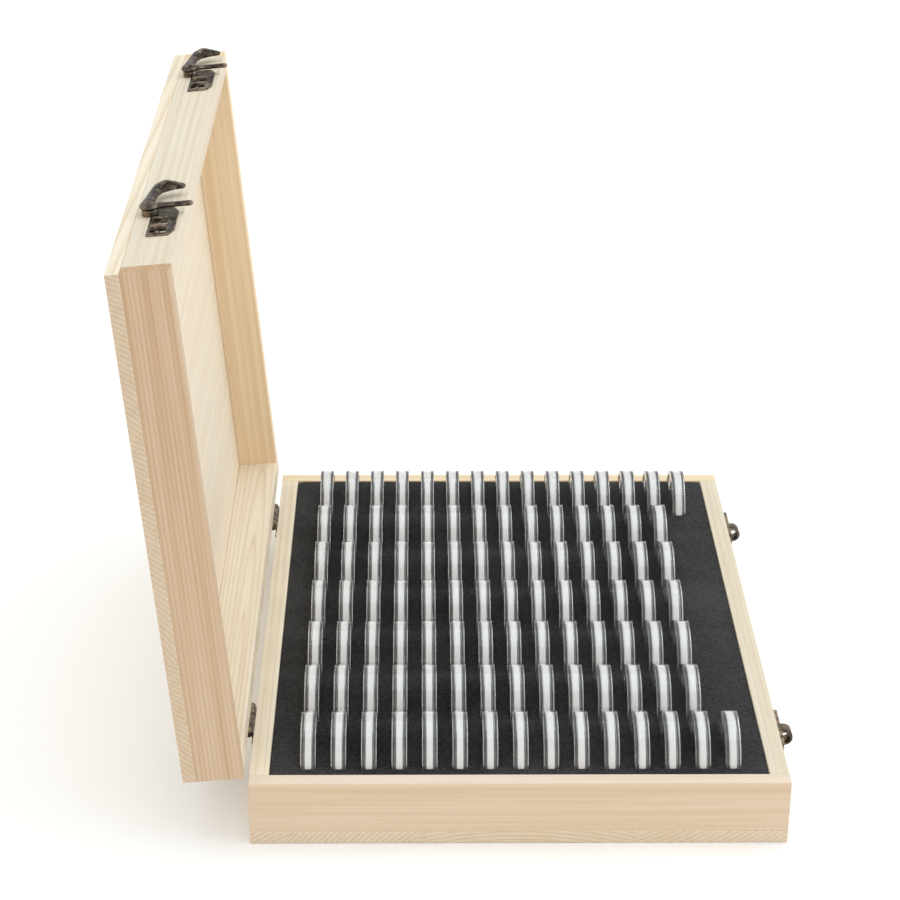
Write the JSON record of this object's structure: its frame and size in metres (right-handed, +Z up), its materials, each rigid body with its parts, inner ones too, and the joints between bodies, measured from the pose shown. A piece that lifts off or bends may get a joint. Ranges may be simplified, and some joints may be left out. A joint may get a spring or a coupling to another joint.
{
  "type": "coin capsule storage case",
  "caption": "Hinged pine case standing open, with a slotted black foam insert that holds rows of round clear capsules on edge, two hinges and two swing-hook latches.",
  "frame": {"origin": "centre of the tray's flat underside", "axes": "+X from the hinges to the latches, +Y to the back, +Z up"},
  "size_m": [0.3725, 0.39, 0.3477],
  "materials": {
    "pine_boards": "bare sanded pine",
    "pine_panels": "bare sanded pine panel",
    "foam": "closed-cell foam, fine grained",
    "clear_shell": "clear polished plastic",
    "gasket": "soft white foam",
    "bronze": "antique bronze plating, dark with worn highlights",
    "fasteners": "antique bronze plating"
  },
  "bodies": {
    "tray": {"back_hinge_pin": "fasteners", "back_hinge_tray_leaf": "bronze", "back_keeper": "bronze", "foam_insert": "foam", "front_hinge_pin": "fasteners", "front_hinge_tray_leaf": "bronze", "front_keeper": "bronze", "keeper_nails": "fasteners", "tray_back_board": "pine_boards", "tray_bottom_panel": "pine_panels", "tray_front_board": "pine_boards", "tray_hinge_screws": "fasteners", "tray_hinge_side_board": "pine_boards", "tray_latch_side_board": "pine_boards"},
    "lid": {"back_hinge_lid_leaf": "bronze", "back_latch_plate": "bronze", "back_latch_rivet": "fasteners", "front_hinge_lid_leaf": "bronze", "front_latch_plate": "bronze", "front_latch_rivet": "fasteners", "latch_plate_nails": "fasteners", "lid_back_board": "pine_boards", "lid_front_board": "pine_boards", "lid_hinge_screws": "fasteners", "lid_hinge_side_board": "pine_boards", "lid_latch_side_board": "pine_boards", "lid_panel": "pine_panels"},
    "front_hook": {"front_hook": "bronze"},
    "back_hook": {"back_hook": "bronze"},
    "capsule_row_1": {"capsule_bases_row_1": "clear_shell", "capsule_covers_row_1": "clear_shell", "gasket_rings_row_1": "gasket"},
    "capsule_row_2": {"capsule_bases_row_2": "clear_shell", "capsule_covers_row_2": "clear_shell", "gasket_rings_row_2": "gasket"},
    "capsule_row_3": {"capsule_bases_row_3": "clear_shell", "capsule_covers_row_3": "clear_shell", "gasket_rings_row_3": "gasket"},
    "capsule_row_4": {"capsule_bases_row_4": "clear_shell", "capsule_covers_row_4": "clear_shell", "gasket_rings_row_4": "gasket"},
    "capsule_row_5": {"capsule_bases_row_5": "clear_shell", "capsule_covers_row_5": "clear_shell", "gasket_rings_row_5": "gasket"},
    "capsule_row_6": {"capsule_bases_row_6": "clear_shell", "capsule_covers_row_6": "clear_shell", "gasket_rings_row_6": "gasket"},
    "capsule_row_7": {"capsule_bases_row_7": "clear_shell", "capsule_covers_row_7": "clear_shell", "gasket_rings_row_7": "gasket"}
  },
  "joints": [
    {"name": "lid_hinge", "type": "hinge", "parent": "tray", "child": "lid", "pos_m": [-0.1528, 0, 0.03974], "axis": [0, -1, 0], "range_deg": [-95.2, 0]},
    {"name": "front_hook_pivot", "type": "hinge", "parent": "lid", "child": "front_hook", "pos_m": [-0.19815, -0.11, 0.34318], "axis": [-0.0906, 0, 0.9959], "range_deg": [-95, 0]},
    {"name": "back_hook_pivot", "type": "hinge", "parent": "lid", "child": "back_hook", "pos_m": [-0.19815, 0.145, 0.34318], "axis": [-0.0906, 0, 0.9959], "range_deg": [-95, 0]},
    {"name": "capsule_row_1_lift", "type": "slide", "parent": "tray", "child": "capsule_row_1", "axis": [0, 0, 1], "range_m": [0, 0.04]},
    {"name": "capsule_row_2_lift", "type": "slide", "parent": "tray", "child": "capsule_row_2", "axis": [0, 0, 1], "range_m": [0, 0.04]},
    {"name": "capsule_row_3_lift", "type": "slide", "parent": "tray", "child": "capsule_row_3", "axis": [0, 0, 1], "range_m": [0, 0.04]},
    {"name": "capsule_row_4_lift", "type": "slide", "parent": "tray", "child": "capsule_row_4", "axis": [0, 0, 1], "range_m": [0, 0.04]},
    {"name": "capsule_row_5_lift", "type": "slide", "parent": "tray", "child": "capsule_row_5", "axis": [0, 0, 1], "range_m": [0, 0.04]},
    {"name": "capsule_row_6_lift", "type": "slide", "parent": "tray", "child": "capsule_row_6", "axis": [0, 0, 1], "range_m": [0, 0.04]},
    {"name": "capsule_row_7_lift", "type": "slide", "parent": "tray", "child": "capsule_row_7", "axis": [0, 0, 1], "range_m": [0, 0.04]}
  ]
}
